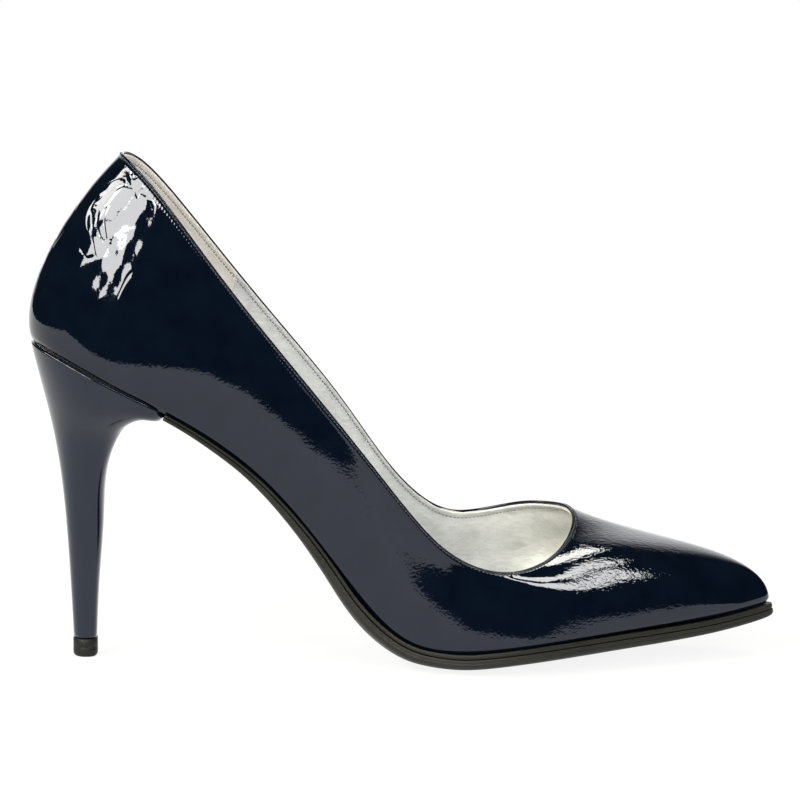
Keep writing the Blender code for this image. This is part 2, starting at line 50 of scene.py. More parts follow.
# The seat under the foot, and the ribs of the wall: as in the CAD source.
SEAT_LINE = [
    (0, 103.7), (10, 99.4), (20, 94.1), (34, 86.8), (48, 79.6), (62, 70.5),
    (76, 58.9), (88, 45.2), (98, 31.1), (106, 19), (114, 10.6), (122, 5.9),
    (131, 4.4), (140, 4.25), (152, 5.5), (170, 8.1), (195, 11.3), (220, 14.1), (239, 17.4),
]
SEAT_BOW = [
    (0, 1.15, 0, 24.4), (30, 1.35, 0, 24.4), (62, 1.3, -1.2, 20.8), (85, 2.2, -3.8, 19.4),
    (98, 3.7, -4.4, 20.2), (107, 4.5, -4.2, 22), (116, 4.4, -3.7, 24.6), (125, 3.6, -3, 27.6),
    (135, 3, -2, 31.4), (146, 2.9, -0.8, 34.6), (158, 2.8, 0, 36), (185, 2.6, 0, 36),
    (239, 2, 0, 36),
]
RIBS = [
    ((1.5, 0), (30.9, 0, 163.8), (-5.4, 0, 15.6), (-17.2, 0, -16)),
    ((7, -14.8), (34.6, -12, 161.4), (-3.6, -3.6, 17), (-15, -5, -17.5)),
    ((24, -24), (44.5, -19.3, 151), (1, -2.1, 18), (-9.5, -3.8, -19)),
    ((50, -23.7), (63, -23.4, 126.5), (2.5, -2.6, 16), (-5, -1.3, -16)),
    ((76, -22.5), (82, -24.7, 102.3), (0, -3.4, 13), (-2.5, 0, -14)),
    ((98, -24.6), (100, -26.4, 80.2), (-3, -2.9, 13.5), (-0.5, -0.2, -15)),
    ((118, -29.1), (116, -28.5, 60), (-3.5, -1.3, 15), (1, 0.4, -16)),
    ((137, -34.1), (131, -30.7, 42.8), (-1.5, 0.6, 11), (2, -0.3, -11.5)),
    ((156, -36.3), (144.5, -32.1, 35), (0, 0.5, 8.5), (4, -2.5, -8)),
    ((176, -32.1), (156, -28.6, 33.2), (1.5, 0.6, 8), (8, -6.2, -4.9)),
    ((200, -21.5), (165.4, -21, 35.2), (2, -2.5, 7.9), (15.1, -6.3, -2.8)),
    ((224, -10.7), (171.5, -11, 39.1), (2, -0.6, 10.8), (25, -4.7, 0.1)),
    ((238.2, 0), (174.7, 1.5, 43.8), (0.8, 2, 15.6), (32.6, 5.2, -6.7)),
    ((224, 9.5), (173, 12, 46.8), (2, 2.9, 13.3), (22.8, 4.3, -10.6)),
    ((200, 22.3), (167.5, 21, 46.6), (1.5, 2.4, 10.1), (15, 3, -11.7)),
    ((176, 34.8), (158, 27.9, 45.3), (1, 2.5, 9.5), (8.5, 5.9, -8.4)),
    ((156, 36.2), (144.5, 31.8, 42.2), (0, 3.2, 10), (4, 4.8, -10.5)),
    ((137, 29.8), (131, 31, 43.6), (-1.5, 5.5, 10), (1.5, 2.5, -13)),
    ((118, 21.3), (116, 29, 57.3), (-3, 6.5, 13), (0, 1.5, -16)),
    ((98, 15.2), (100, 27, 80), (-2.5, 8, 11.5), (-1, 0.8, -16)),
    ((76, 15.8), (82, 25.4, 102.8), (0, 7, 12), (-2.5, 0.8, -15)),
    ((50, 21.8), (63, 23.8, 126.5), (2.5, 4, 15), (-5, 1.8, -16)),
    ((24, 23.9), (44.5, 19.4, 150.4), (1, 3.5, 18), (-9.5, 4, -18.5)),
    ((7, 14.8), (34.6, 12.4, 161), (-3.6, 3.6, 17), (-15, 5, -17.5)),
]
TOE = 12  # the rib at the tip of the toe
HEEL_LINING_TO = 3.2  # ribs from the back where the two linings meet

# Heights above the seat, and thicknesses, by x.
MIDSOLE_THICK = [(40, 0.7), (90, 1.0), (130, 1.5), (239, 1.6)]
OUTSOLE_THICK = [(40, 1.1), (70, 1.6), (95, 2.7), (125, 3.3), (200, 3.2), (239, 2.5)]
SOCK_LIFT = [(52, 8.4), (66, 6.9), (126, 6.9), (239, 6.8)]
SOCK_THICK = 0.8
HEEL_PAD = (6.85, 8.15)
FORE_PAD = (4.75, 6.4)
BREAST = 44.9  # where the sole meets the heel

# The heel: outlines from its seat down, as in the CAD source.
HEEL_TOP = [(1.2, 26, 44.8, 24.8, 7, -0.2), (2.7, 26, 44.7, 24.1, 7, -2.6)]
HEEL_STEM = [
    (4.8, 24, 37.4, 21.4, 6, 88, 79.6), (7.7, 21, 30.6, 15.1, 4, 75.8, 74.8),
    (9.9, 19, 25.8, 10.2, 3.4, 63.5, 63.5), (11.9, 18.2, 24, 7.2, 3, 45, 45),
    (13.2, 17.9, 22.5, 5.6, 3, 25, 25), (14.1, 17.8, 21.6, 4.7, 3, 6.3, 6.3),
]
HEEL_KEYS = [0, 2.5, 10, 20, 32, 51, 71, 90]  # a row of the heel for each of its outlines

# Stitching along the topline: length of one stitch, and how far its rows are from the edge.
PITCH = 1.25
OUTER_ROW = 1.0
LINING_ROW = 2.3
STEPS_PER_STITCH = 4
STITCH_LONG = 0.95

# The sheets of the wall.
FOLD = 0.42  # radius of the folded edge of the upper
LASTED_RADIUS = 1.5  # of the upper's lower edge, where it turns under the board
LINING_DEPTHS = (2.85, 1.8), (2.2, 1.2)  # of its face and its back, each low down and on top
SEAT_END = 239
TOE_TIP = 238.2  # where the edge of the seat ends


def cubic(x, y, at, loop=False):
    """The smooth cubic through the points (x, y), at the places `at`."""
    x, y, at = np.asarray(x, float), np.asarray(y, float), np.asarray(at, float)
    n = len(x)
    gap = np.diff(x)
    slope = (np.diff(y, axis=0).T / gap).T
    rows = np.zeros((n, n))
    right = np.zeros((n,) + y.shape[1:])
    for i in range(1, n - 1):
        rows[i, i - 1 : i + 2] = gap[i - 1], 2 * (gap[i - 1] + gap[i]), gap[i]
        right[i] = 6 * (slope[i] - slope[i - 1])
    rows[0, 0] = rows[-1, -1] = 1
    if loop:
        rows[0, -1] = -1
        rows[-1] = 0
        rows[-1, [0, 1]] = 2 * gap[0], gap[0]
        rows[-1, [-2, -1]] += gap[-1], 2 * gap[-1]
        right[-1] = 6 * (slope[0] - slope[-1])
    bend = np.linalg.solve(rows, right.reshape(n, -1)).reshape(right.shape)
    i = np.clip(np.searchsorted(x, at, side="right") - 1, 0, n - 2)
    shape = at.shape + (1,) * (y.ndim - 1)
    b, a, g = (at - x[i]).reshape(shape), (x[i + 1] - at).reshape(shape), gap[i].reshape(shape)
    return (
        (bend[i] * a**3 + bend[i + 1] * b**3) / (6 * g)
        + (y[i] / g - bend[i] * g / 6) * a
        + (y[i + 1] / g - bend[i + 1] * g / 6) * b
    )


def between(table, x):
    """A straight-line reading of a table of (x, value)."""
    keys, values = zip(*table)
    return np.interp(x, keys, values)


def ease(low, high, x):
    """0 below low, 1 above high, and smooth in between."""
    t = np.clip((np.asarray(x, float) - low) / (high - low), 0, 1)
    return t * t * (3 - 2 * t)


def unit(v):
    return v / np.linalg.norm(v, axis=-1, keepdims=True)


def row(points):
    """Millimetres of the drawing as the frame's metres."""
    return (np.asarray(points, float) - CENTRE) / 1000


def seat_line(x):
    keys, heights = zip(*SEAT_LINE)
    return cubic(keys, heights, np.clip(x, -5, 244))


def on_seat(x, y, h):
    """Points at a height h from the seat, straight out from its line along the shoe."""
    x, y = np.asarray(x, float), np.asarray(y, float)
    slope = seat_line(x + 0.5) - seat_line(x - 0.5)
    size = np.sqrt(1 + slope**2)
    keys, *shape = zip(*SEAT_BOW)
    bow = cubic(keys, np.transpose(shape), np.clip(x, 0, SEAT_END))
    rise, middle, half = np.moveaxis(bow, -1, 0)
    z = seat_line(x) + rise * ((y - middle) / half) ** 2 + h / size
    return np.stack(np.broadcast_arrays(x - h * slope / size, y, z), axis=-1)


def rails(at):
    """The four ends and handles of the wall's ribs, at places counted in ribs."""
    foot = np.array([on_seat(f[0], f[1], 0.0) for f, _, _, _ in RIBS])
    top = np.array([t for _, t, _, _ in RIBS], float)
    low = foot + [a for _, _, a, _ in RIBS]
    high = top + [b for _, _, _, b in RIBS]
    keys = np.arange(len(RIBS) + 1)
    at = np.mod(at, len(RIBS))
    return [cubic(keys, np.vstack([r, r[:1]]), at, loop=True) for r in (foot, low, high, top)]


def near_tip(at):
    """Layers get thinner at the pointed tip of the toe."""
    back = TOE_TIP - rails(at)[0][:, 0]
    return (1 - 0.3 * np.exp(-((back / 7) ** 2)))[:, None]


def bare_wall(at, up):
    """The outside of the wall. `up` has one row for each place."""
    a, b, c, d = (r[:, None] for r in rails(at))
    t = up[..., None]
    return (1 - t) ** 3 * a + 3 * t * (1 - t) ** 2 * b + 3 * t**2 * (1 - t) * c + t**3 * d


def wall(at, up, depth=0.0):
    """Points of the wall `depth` in from the outside, and its outward normals."""
    at = np.asarray(at, float)
    up = np.broadcast_to(up, (len(at), np.shape(up)[-1]))
    e = 0.004
    along = bare_wall(at + e, up) - bare_wall(at - e, up)
    upward = bare_wall(at, up + e) - bare_wall(at, up - e)
    out = unit(np.cross(along, upward))
    inward = np.broadcast_to(depth, up.shape) * near_tip(at)
    return bare_wall(at, up) - out * inward[..., None], out


def every(values, at):
    """The same row of values for each place."""
    return np.tile(values, (len(at), 1))


def below_edge(at, down):
    """The share of the way up the wall that is `down` millimetres below the topline."""
    at = np.asarray(at, float)
    share = np.linspace(0, 1, 241)
    points = bare_wall(at, np.broadcast_to(share, (len(at), len(share))))
    steps = np.linalg.norm(np.diff(points[:, ::-1], axis=1), axis=2)
    run = np.concatenate([np.zeros((len(at), 1)), np.cumsum(steps, axis=1)], axis=1)
    down = np.broadcast_to(down, (len(at), np.shape(down)[-1]))
    return np.array([np.interp(d, r, share[::-1]) for d, r in zip(down, run)]), run[:, -1:]


def feather(at, inset):
    """x and y of the edge of the seat, moved in by `inset`."""
    at = np.asarray(at, float)
    here = rails(at)[0][:, :2]
    run = unit(rails(at + 0.01)[0][:, :2] - rails(at - 0.01)[0][:, :2])
    out = np.stack([run[:, 1], -run[:, 0]], axis=1)
    # Along the sides the edge moves straight across, so that layers keep the same x.
    sideways = ease(0.6, 0.85, np.abs(run[:, 0]))
    across = np.stack([0 * sideways, -1 / np.where(sideways > 0, run[:, 0], 1)], axis=1)
    out += (across - out) * sideways[:, None]
    return here - out * np.reshape(inset, (-1, 1))


def place_of(x):
    """How far along the outer side, in ribs, the edge of the seat reaches this x."""
    at = np.linspace(0, TOE, 600)
    return float(np.interp(x, rails(at)[0][:, 0], at))


def even_places(start, end, step, rail=3):
    """Places between two others, evenly spaced along the topline (or another rail)."""
    fine = np.linspace(start, end, 2400)
    line = rails(fine)[rail]
    run = np.concatenate([[0], np.cumsum(np.linalg.norm(np.diff(line, axis=0), axis=1))])
    count = int(round(run[-1] / step))
    return np.interp(np.linspace(0, run[-1], count + 1), run, fine)


def heel_outline(back, widest, front, half, square, turn):
    """x and y of the heel's outline, for directions from the back (0) to the front (pi)."""
    rear = np.cos(turn) >= 0
    reach = np.where(rear, widest - back, front - widest)
    power = np.where(rear, 2.05, square)
    size = np.abs(np.cos(turn) / reach) ** power + np.abs(np.sin(turn) / half) ** power
    radius = size ** (-1 / power)
    return widest - radius * np.cos(turn), radius * np.sin(turn)


def heel_side(turn, rows):
    """The +y half of the heel's outside: directions by rows."""
    lines = []
    for *shape, h in HEEL_TOP:
        lines.append(on_seat(*heel_outline(*shape, turn), h))
    for *shape, rear, front in HEEL_STEM:
        x, y = heel_outline(*shape, turn)
        share = (x - shape[0]) / (shape[2] - shape[0])
        lines.append(np.stack([x, y, rear + (front - rear) * share], axis=1))
    return np.moveaxis(cubic(HEEL_KEYS, np.array(lines), rows), 0, 1)


# --- meshes ---------------------------------------------------------------------------


def finish_piece(name, mesh, material, replaced=()):
    """Turns a mesh into a visible piece that rides on the shoe."""
    shape = bmesh.new()
    shape.from_mesh(mesh)
    bmesh.ops.recalc_face_normals(shape, faces=shape.faces)
    shape.to_mesh(mesh)
    shape.free()
    mesh.shade_smooth()
    mesh.materials.append(material)
    piece = bpy.data.objects.new(name, mesh)
    bpy.context.scene.collection.objects.link(piece)
    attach(piece, "root")
    if replaced:
        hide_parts(*replaced)
    return piece


def grid_mesh(name, grid, loop=False, ring=False, uv=None):
    """A mesh over a grid of points. `loop` joins its last line to its first, and `ring`
    does the same across."""
    n, m = grid.shape[:2]
    i, j = np.meshgrid(
        np.arange(n if loop else n - 1), np.arange(m if ring else m - 1), indexing="ij"
    )
    i, j = i.ravel(), j.ravel()
    after, over = (i + 1) % n, (j + 1) % m
    faces = np.stack([i * m + j, after * m + j, after * m + over, i * m + over], axis=1)
    mesh = bpy.data.meshes.new(name)
    mesh.from_pydata(row(grid.reshape(-1, 3)).tolist(), [], faces.tolist())
    if uv is not None:
        u, v = uv
        corner_u = np.stack([u[i], u[i + 1], u[i + 1], u[i]], axis=1)
        corner_v = np.stack([v[j], v[j], v[over], v[over]], axis=1)
        flat = np.stack([corner_u, corner_v], axis=2).reshape(-1, 2)
        layer = mesh.uv_layers.new(name="UVMap")
        layer.data.foreach_set("uv", flat.astype(np.float32).ravel())
    return mesh


def fill_holes(mesh, shut=0.0):
    """Closes a mesh, after joining the points that are within `shut` metres."""
    shape = bmesh.new()
    shape.from_mesh(mesh)
    if shut:
        bmesh.ops.remove_doubles(shape, verts=shape.verts, dist=shut)
    bmesh.ops.holes_fill(shape, edges=[e for e in shape.edges if e.is_boundary])
    shape.to_mesh(mesh)
    shape.free()


def parts_mesh(name, parts):
    """One mesh of many small closed tubes, each a grid of rings."""
    points, faces, count = [], [], 0
    for grid in parts:
        n, m = grid.shape[:2]
        i, j = np.meshgrid(np.arange(n - 1), np.arange(m), indexing="ij")
        a, b = (i * m + j).ravel(), (i * m + (j + 1) % m).ravel()
        faces += (np.stack([a, b, b + m, a + m], axis=1) + count).tolist()
        faces.append((np.arange(m)[::-1] + count).tolist())
        faces.append((np.arange(m) + (n - 1) * m + count).tolist())
        points.append(grid.reshape(-1, 3))
        count += n * m
    mesh = bpy.data.meshes.new(name)
    mesh.from_pydata(row(np.concatenate(points)).tolist(), [], faces)
    return mesh


# --- the upper and its lining ---------------------------------------------------------


def all_round():
    """Places right round the topline, a whole number of stitches."""
    rough = len(even_places(0, len(RIBS), PITCH / STEPS_PER_STITCH)) - 1
    whole = STEPS_PER_STITCH * round(rough / STEPS_PER_STITCH)
    return even_places(0, len(RIBS), PITCH / STEPS_PER_STITCH * rough / whole)[:-1]


ALL_ROUND = all_round()


def pucker(count, down, row_at, deep):
    """How far stitching pulls the leather in: dips at the holes, and a shallow groove."""
    phase = 2 * math.pi * np.arange(count)[:, None] / STEPS_PER_STITCH
    hole = (0.5 + 0.5 * np.cos(phase)) ** 2
    groove = 0.5 * np.exp(-(((down - row_at) / 0.38) ** 2))
    dimple = 0.5 * hole * np.exp(-(((down - row_at) / 0.45) ** 2))
    swell = -0.22 * (1 - hole) * np.exp(-(((down - row_at - 0.9) / 0.45) ** 2))
    return deep * (groove + dimple + swell)


def ripple(points):
    """Slight unevenness of the leather over the counter, in millimetres."""
    x, z = points[..., 0], points[..., 2]
    waves = np.sin(0.75 * x + 0.42 * z) + np.sin(1.05 * x - 0.5 * z + 1) + np.sin(0.5 * z + 2)
    return 0.035 * waves * (1 - ease(32, 50, x)) * ease(112, 126, z) * (1 - ease(146, 156, z))


def make_upper(material):
    """The upper: up behind its topline, over the fold, down its face and in under the foot."""
    at = ALL_ROUND
    turn = np.linspace(math.pi, 0, 11)
    inner_down = np.array([12, 9, 6, 4, 2.5, 1.3])
    hidden_down = np.concatenate([inner_down, FOLD - FOLD * np.sin(turn)])
    hidden_depth = np.concatenate([0 * inner_down + 2 * FOLD, FOLD - FOLD * np.cos(turn)])
    near = np.array([
        0.5, 0.65, 0.8, 0.9, 1.0, 1.1, 1.2, 1.35, 1.55, 1.8, 2.1, 2.5, 3.1, 4.2, 6, 8.5])
    _, length = below_edge(at, np.array([0.0]))
    rest = near[-1] + (length - near[-1]) * np.linspace(0, 1, 40)[1:]
    face_down = np.concatenate([every(near, at), rest], axis=1)
    left = np.clip(length - face_down, 0, LASTED_RADIUS)
    turned_in = LASTED_RADIUS - np.sqrt(LASTED_RADIUS**2 - (LASTED_RADIUS - left) ** 2)
    face_depth = pucker(len(at), face_down, OUTER_ROW, 0.26) + turned_in
    down = np.concatenate([every(hidden_down, at), face_down], axis=1)
    depth = np.concatenate([every(hidden_depth, at), face_depth], axis=1)
    points, out = wall(at, below_edge(at, down)[0], depth)
    face = len(hidden_down)
    points[:, face:] -= out[:, face:] * ripple(points[:, face:])[..., None]
    edge = feather(at, 1.5 * near_tip(at)[:, 0])
    inner = feather(at, 7.5 * near_tip(at)[:, 0] ** 3)
    # The margin stays clear of its own other side at the back and at the tip of the toe.
    inner[:, 0] = np.clip(inner[:, 0], 6, 229)
    under = [on_seat(*p.T, 0.03)[:, None] for p in (edge, inner)]
    grid = np.concatenate([points, *under], axis=1)
    u = np.arange(len(at) + 1) * PITCH / STEPS_PER_STITCH / 1000
    v = np.concatenate([down.mean(axis=0), [80, 86]]) / 1000
    mesh = grid_mesh("upper_leather", grid, loop=True, uv=(u, v))
    finish_piece("upper_leather", mesh, material, ["upper"])


def on_row(at, down, depth):
    """Points of the wall along one line `down` millimetres below the topline, and normals."""
    up, _ = below_edge(at, every([down], at))
    points, out = wall(at, up, depth)
    return points[:, 0], out[:, 0]


def stitches(name, at, down, depth, material, side=1, thick=0.17):
    """A row of short threads lying on the wall, each dipping in at its two ends. `side` is
    -1 on the inner face."""
    points, out = on_row(at, down, depth)
    out = out * side
    along = unit(on_row(at + 0.01, down, depth)[0] - points)
    across = np.cross(out, along)
    s = np.array([-1, -0.86, -0.55, 0, 0.55, 0.86, 1.0])
    swell = thick * np.sqrt(1 - 0.75 * s**4)
    lift = 0.1 - 0.32 * s**4
    turn = np.linspace(0, 2 * math.pi, 8, endpoint=False)
    parts = []
    for p, n, t, b in zip(points, out, along, across):
        line = p + t * (s * STITCH_LONG / 2)[:, None] + n * lift[:, None] + b * (0.06 * s)[:, None]
        ring = np.cos(turn)[:, None] * n + np.sin(turn)[:, None] * b
        parts.append(line[:, None] + ring[None] * swell[:, None, None])
    finish_piece(name, parts_mesh(name, parts), material)


def lining_grid(at):
    """A closed strip of lining: its outer face up, over its edge, and its inner face down."""
    _, length = below_edge(at, np.array([0.0]))
    low_face, top_face = LINING_DEPTHS[0]
    low_back, top_back = LINING_DEPTHS[1]
    back_down = every([14.0, 7, 3.6, 1.6], at)
    back_depth = low_back + (top_back - low_back) * ease(0.8, 0.93, 1 - back_down / length)
    near = np.array([1.1, 1.35, 1.6, 1.85, 2.1, 2.3, 2.5, 2.75, 3.05, 3.5, 4.2, 5.5, 7.5, 10])
    rest = near[-1] + (0.965 * length - near[-1]) * np.linspace(0, 1, 24)[1:]
    face_down = np.concatenate([every(near, at), rest], axis=1)
    face_depth = low_face + (top_face - low_face) * ease(0.8, 0.93, 1 - face_down / length)
    face_depth = face_depth - pucker(len(at), face_down, LINING_ROW, 0.22)
    turn = np.linspace(0, math.pi, 9)
    edge_down, edge_depth, radius = 0.45, 1.36, 0.44
    turn_down = every(edge_down + radius - radius * np.sin(turn), at)
    turn_depth = every(edge_depth - radius * np.cos(turn), at)
    down = np.concatenate([back_down, turn_down, face_down], axis=1)
    depth = np.concatenate([back_depth, turn_depth, face_depth], axis=1)
    points, _ = wall(at, below_edge(at, down)[0], depth)
    return points, down


def make_lining(name, start, end, material, replaced):
    """A lining from one rib to another, folded double over its upper edge."""
    at = even_places(start, end, PITCH / STEPS_PER_STITCH)
    grid, down = lining_grid(at)
    # The outer face starts where the inner one ends, so that the strip is closed.
    bottom, _ = wall(at, every([0.035], at), LINING_DEPTHS[1][0])
    grid = np.concatenate([bottom, grid], axis=1)
    u = np.arange(len(at) + 1) * PITCH / STEPS_PER_STITCH / 1000
    v = np.concatenate([[80], down.mean(axis=0)]) / 1000
    mesh = grid_mesh(name, grid, ring=True, uv=(u, v))
    finish_piece(name, mesh, material, replaced)


# --- the bottom -----------------------------------------------------------------------


def plate_grid(at, columns, edge):
    """Lines across a flat piece on the seat: over its top, round its edge and back under.
    `edge` runs from its top to its bottom as (inset, h)."""
    lines = []
    share = np.linspace(0, 1, columns)[None, :, None]
    for k, (inset, h) in enumerate(edge):
        outer = feather(at, inset)
        inner = feather(len(RIBS) - at, inset)
        if k in (0, len(edge) - 1):
            plan = outer[:, None] * (1 - share) + inner[:, None] * share
        else:
            plan = np.stack([outer, inner], axis=1)
        lines.append(on_seat(plan[..., 0], plan[..., 1], h(plan[..., 0])))
    top, bottom = lines[0], lines[-1]
    outer_side = np.concatenate([m[:, :1] for m in lines[-2:0:-1]], axis=1)
    inner_side = np.concatenate([m[:, 1:2] for m in lines[1:-1]], axis=1)
    return np.concatenate([top, inner_side, bottom[:, ::-1], outer_side], axis=1)


def make_plate(name, at, columns, edge, material, replaced, change=None, floor=False):
    """A closed flat piece. `change` reshapes its grid, and `floor` keeps it above the floor."""
    grid = plate_grid(at, columns, edge)
    if change is not None:
        grid = change(grid)
    if floor:
        grid[..., 2] = np.maximum(grid[..., 2], 0)
    mesh = grid_mesh(name, grid, ring=True)
    fill_holes(mesh, 2e-6)
    return finish_piece(name, mesh, material, replaced)


def level(value):
    """A height that is the same at each x."""
    return lambda x: value + 0 * x


def make_bottom(look):
    """The midsole's rand and the sole, from the heel's breast to the toe."""
    fine = even_places(place_of(BREAST), TOE, 1.0, rail=0)
    proud = 0.15 + 0.65 * ease(95, 140, rails(fine)[0][:, 0])

    def mid(share):
        return lambda x: -0.15 - share * between(MIDSOLE_THICK, x)

    def out(share):
        base = mid(1)
        return lambda x: base(x) - 0.15 - share * between(OUTSOLE_THICK, x)

    mid_edge = [
        (0.3 - proud, mid(0.02)), (0.08 - proud, mid(0.08)), (-proud, mid(0.25)),
        (-proud, mid(0.75)), (0.1 - proud, mid(0.92)), (0.35 - proud, mid(1)),
    ]
    make_plate("midsole_rand", fine, 9, mid_edge, look["sole_runner"], ["midsole"])
    sole_edge = [
        (0.35 - proud, out(0.02)), (0.1 - proud, out(0.05)), (-proud, out(0.12)),
        (-proud - 0.02, out(0.3)), (0.12 - proud, out(0.36)), (-proud, out(0.42)),
        (0.1 - proud, out(0.6)), (0.5 - proud, out(0.8)), (1.3 - proud, out(0.93)),
        (2.6 - proud, out(1)),
    ]
    make_plate(
        "sole_leather", fine, 21, sole_edge, look["sole_leather"], ["outsole"],
        floor=True,
    )


def crowned(rise):
    """Lifts the top of a pad in the middle and lets it fall away to its edges."""

    def change(grid):
        middle = grid.mean(axis=(0, 1))
        span = np.abs(grid - middle).max(axis=(0, 1))
        from_middle = np.clip(np.abs(grid - middle)[..., :2] / span[:2], 0, 1)
        swell = (1 - from_middle[..., 0] ** 4) * (1 - from_middle[..., 1] ** 2.5)
        columns = grid.shape[1] // 2 - 1
        grid[:, :columns, 2] += rise * swell[:, :columns]
        return grid

    return change


def make_sock(material):
    """The thin sock on top of the board and the pads."""

    def sock(extra):
        return lambda x: between(SOCK_LIFT, x) + extra

    at = even_places(place_of(4.5), place_of(222), 1.2, rail=0)
    edge = [
        (4.75, sock(SOCK_THICK)), (4.4, sock(SOCK_THICK * 0.9)), (4.2, sock(SOCK_THICK * 0.6)),
        (4.1, sock(SOCK_THICK * 0.2)), (4.3, sock(0)),
    ]
    make_plate("sock_leather", at, 31, edge, material, ["sock_lining"])


def make_pad(name, node, ends, insets, heights, drops, rise, material):
    """A foam pad with rounded edges. `insets` run from its top to its bottom, and `drops`
    are how far the rim of its top lies below its full height."""
    low, high = heights
    rim = (high - drops[0], high - drops[1], low + (high - low) * 0.35, low + 0.2, low)
    edge = [(inset, level(h)) for inset, h in zip(insets, rim)]
    at = even_places(*ends, 1.0, rail=0)
    pad = make_plate(name, at, 17, edge, material, [node], change=crowned(rise))


def make_pads(material):
    heel_ends = place_of(6), place_of(46)
    make_pad(
        "heel_cushion", "heel_pad", heel_ends, (8.2, 7.0, 6.2, 6.0, 6.3), HEEL_PAD,
        (0.35, 0.5), 0.3, material,
    )
    make_pad(
        "forefoot_cushion", "forefoot_pad", (7, 10), (6.4, 5.3, 4.7, 4.5, 4.8), FORE_PAD,
        (0.45, 0.6), 0.4, material,
    )


# --- the heel -------------------------------------------------------------------------


def make_heel(look):
    """The heel's wrapped cover, mirrored from its +y half, and the tip under it."""
    turn = np.linspace(0, math.pi, 97)
    rows = np.concatenate([[0, 0.12, 0.25, 0.4, 0.55, 0.7, 1, 1.5, 2.2], np.linspace(3, 90, 70)])
    # The upper rim is rounded over.
    inset = np.interp(rows, [0, 0.12, 0.25, 0.4, 0.55, 0.7], [0.4, 0.22, 0.1, 0.03, 0.01, 0])
    e = 0.01
    down = heel_side(turn, np.clip(rows + e, 0, 90)) - heel_side(turn, np.clip(rows - e, 0, 90))
    around = heel_side(turn + e, rows) - heel_side(turn - e, rows)
    out = unit(np.cross(around, down))
    # A seam runs down the middle of the breast, where the wrap meets.
    seam = 0.22 * np.exp(-(((turn - math.pi) / 0.035) ** 2))[:, None]
    seam = seam * ease(1.5, 4, rows) * (1 - ease(60, 80, rows))
    outer = heel_side(turn, rows) - out * (inset + seam)[..., None]
    # Its very edges are turned in over the core.
    lip = heel_side(turn, rows[:1]) - out[:, :1] * 0.95
    foot = heel_side(turn, rows[-1:]) - out[:, -1:] * (0.15, 0.15, 0) - (0, 0, 0.05)
    foot_in = heel_side(turn, rows[-1:]) - out[:, -1:] * (1.2, 1.2, 0)
    foot_in[..., 2] = foot[..., 2]
    half = np.concatenate([lip, outer, foot, foot_in], axis=1)
    half[[0, -1], :, 1] = 0
    grid = np.concatenate([half, half[-2:0:-1] * (1, -1, 1)])
    u = np.linspace(0, 0.1, len(grid) + 1)
    v = np.linspace(0, 0.1, grid.shape[1])
    mesh = grid_mesh("heel_wrap", grid, loop=True, uv=(u, v))
    finish_piece("heel_wrap", mesh, look["heel_wrap"], ["heel_cover"])
    make_tip(look["tip"])


def make_tip(material):
    """The top piece: its profile as (inset, height), carried round the heel's outline."""
    turn = np.linspace(0, 2 * math.pi, 96, endpoint=False)
    profile = [
        (4.4, 5.99), (1.0, 5.99), (0.15, 5.97), (0.0, 5.8), (0.0, 3.4), (0.07, 3.25),
        (0.0, 3.1), (0, 1.2), (0.08, 0.8), (0.3, 0.4), (0.65, 0.12), (1.1, 0.0), (2.5, 0.0),
        (4.4, 0.0),
    ]
    lines = []
    for inset, z in profile:
        shape = (13.9 + inset * 0.9, 17.8, 21.8 - inset * 0.9, 4.9 - inset, 3)
        x, y = heel_outline(*shape, turn)
        lines.append(np.stack([x, y, z + 0 * x], axis=1))
    grid = np.stack(lines, axis=1)
    mesh = grid_mesh("heel_tip", grid, loop=True)
    fill_holes(mesh)
    finish_piece("heel_tip", mesh, material, ["top_piece"])


# --- materials ------------------------------------------------------------------------


def new_material(name):
    made = bpy.data.materials.new(name)
    made.use_nodes = True
    return made, made.node_tree, made.node_tree.nodes["Principled BSDF"]


def add(tree, kind, sockets=None, **options):
    """A node with its options set, and its sockets set to values or linked."""
    node = tree.nodes.new(kind)
    for key, value in options.items():
        setattr(node, key, value)
    for key, value in (sockets or {}).items():
        if isinstance(value, bpy.types.NodeSocket):
            tree.links.new(value, node.inputs[key])
        else:
            node.inputs[key].default_value = value
    return node


def place(tree, stretch=(1, 1, 1), turn=(0, 0, 0)):
    """Coordinates in the object's own metres, stretched."""
    coordinates = add(tree, "ShaderNodeTexCoord").outputs["Object"]
    mapping = add(tree, "ShaderNodeMapping", {"Vector": coordinates})
    mapping.inputs["Scale"].default_value = stretch
    mapping.inputs["Rotation"].default_value = turn
    return mapping.outputs["Vector"]


def noise(tree, vector, size, detail=2.0, rough=0.5, distort=0.0):
    """Noise whose features are about `size` millimetres across."""
    return add(tree, "ShaderNodeTexNoise", {
        "Vector": vector, "Scale": 1000 / size, "Detail": detail, "Roughness": rough,
        "Distortion": distort,
    }).outputs["Fac"]


def ramp(tree, fac, stops):
    """Colours for a number, from stops given as (number, colour)."""
    node = add(tree, "ShaderNodeValToRGB", {"Fac": fac})
    node.color_ramp.elements.remove(node.color_ramp.elements[1])
    node.color_ramp.elements[0].position = stops[0][0]
    node.color_ramp.elements[0].color = (*stops[0][1], 1)
    for at, colour in stops[1:]:
        node.color_ramp.elements.new(at).color = (*colour, 1)
    return node.outputs["Color"]


def spread(tree, fac, low, high, start=0.3, end=0.7):
    """A number that runs from low to high as a texture runs from start to end."""
    return add(tree, "ShaderNodeMapRange", {
        "Value": fac, "From Min": start, "From Max": end, "To Min": low, "To Max": high,
    }).outputs["Result"]


def product(tree, *values):
    """The values multiplied together."""
    total = values[0]
    for value in values[1:]:
        total = add(tree, "ShaderNodeMath", {0: total, 1: value}, operation="MULTIPLY").outputs[0]
    return total


